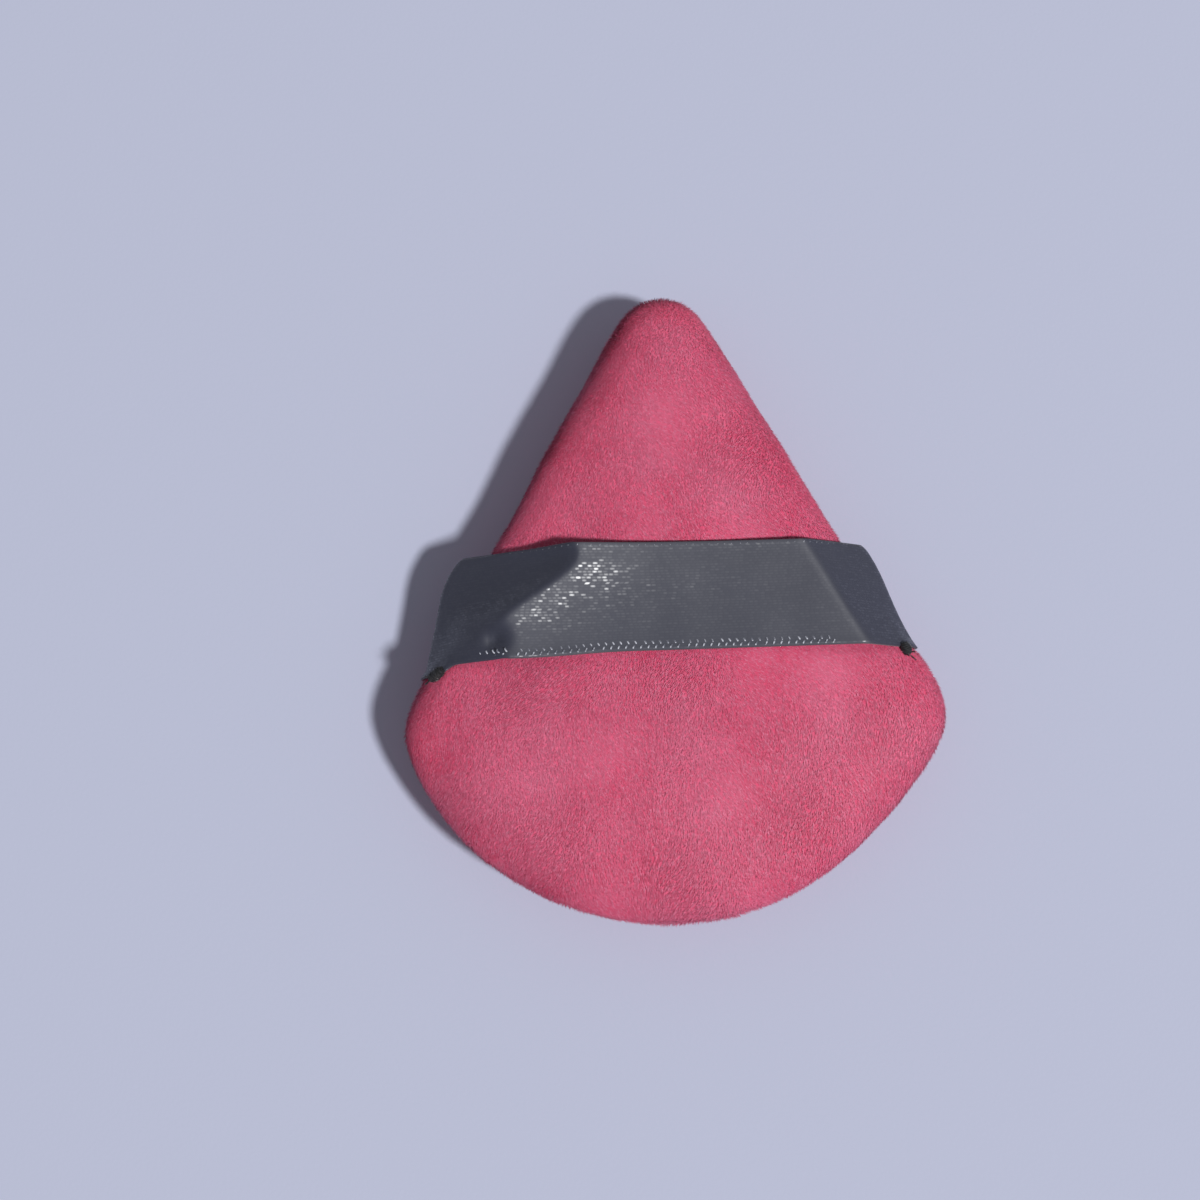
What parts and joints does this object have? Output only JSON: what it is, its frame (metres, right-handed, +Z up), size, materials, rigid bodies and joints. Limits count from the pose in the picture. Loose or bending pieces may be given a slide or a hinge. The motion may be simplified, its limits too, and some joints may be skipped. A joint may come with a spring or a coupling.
{
  "type": "powder puff",
  "caption": "Drop-shaped velour powder puff with a soft foam core and a satin finger strap across its back, for pressing loose powder onto the face",
  "frame": {"origin": "on the resting plane, under the middle of the pad's outline", "axes": "+Z is up, from the powder face to the strap; +Y points to the pointed tip; +X runs along the strap"},
  "size_m": [0.0692, 0.08, 0.0173],
  "materials": {
    "velour": "short-pile pink velour",
    "foam": "open-cell soft foam",
    "wadding": "loose polyester fibre",
    "seam_thread": "pink polyester thread",
    "satin": "charcoal satin ribbon",
    "tack_thread": "black polyester thread"
  },
  "bodies": {
    "pad": {"face_velour_panel": "velour", "foam_core": "foam", "face_wadding": "wadding", "seam_thread": "seam_thread", "closing_stitch": "seam_thread", "left_strap_end": "satin", "right_strap_end": "satin", "left_strap_tack": "tack_thread", "right_strap_tack": "tack_thread"},
    "pad_back": {"back_velour_panel": "velour", "back_wadding": "wadding"},
    "strap": {"finger_strap": "satin"}
  },
  "joints": [
    {"name": "strap_lift", "type": "slide", "parent": "pad", "child": "strap", "axis": [0, 0, 1], "range_m": [0, 0.01]},
    {"name": "back_press", "type": "slide", "parent": "pad", "child": "pad_back", "axis": [0, 0, 1], "range_m": [-0.0045, 0], "stiffness_N_per_m": 400, "springref_m": 0.0004, "deforming": ["back_velour_panel", "back_wadding"]}
  ]
}
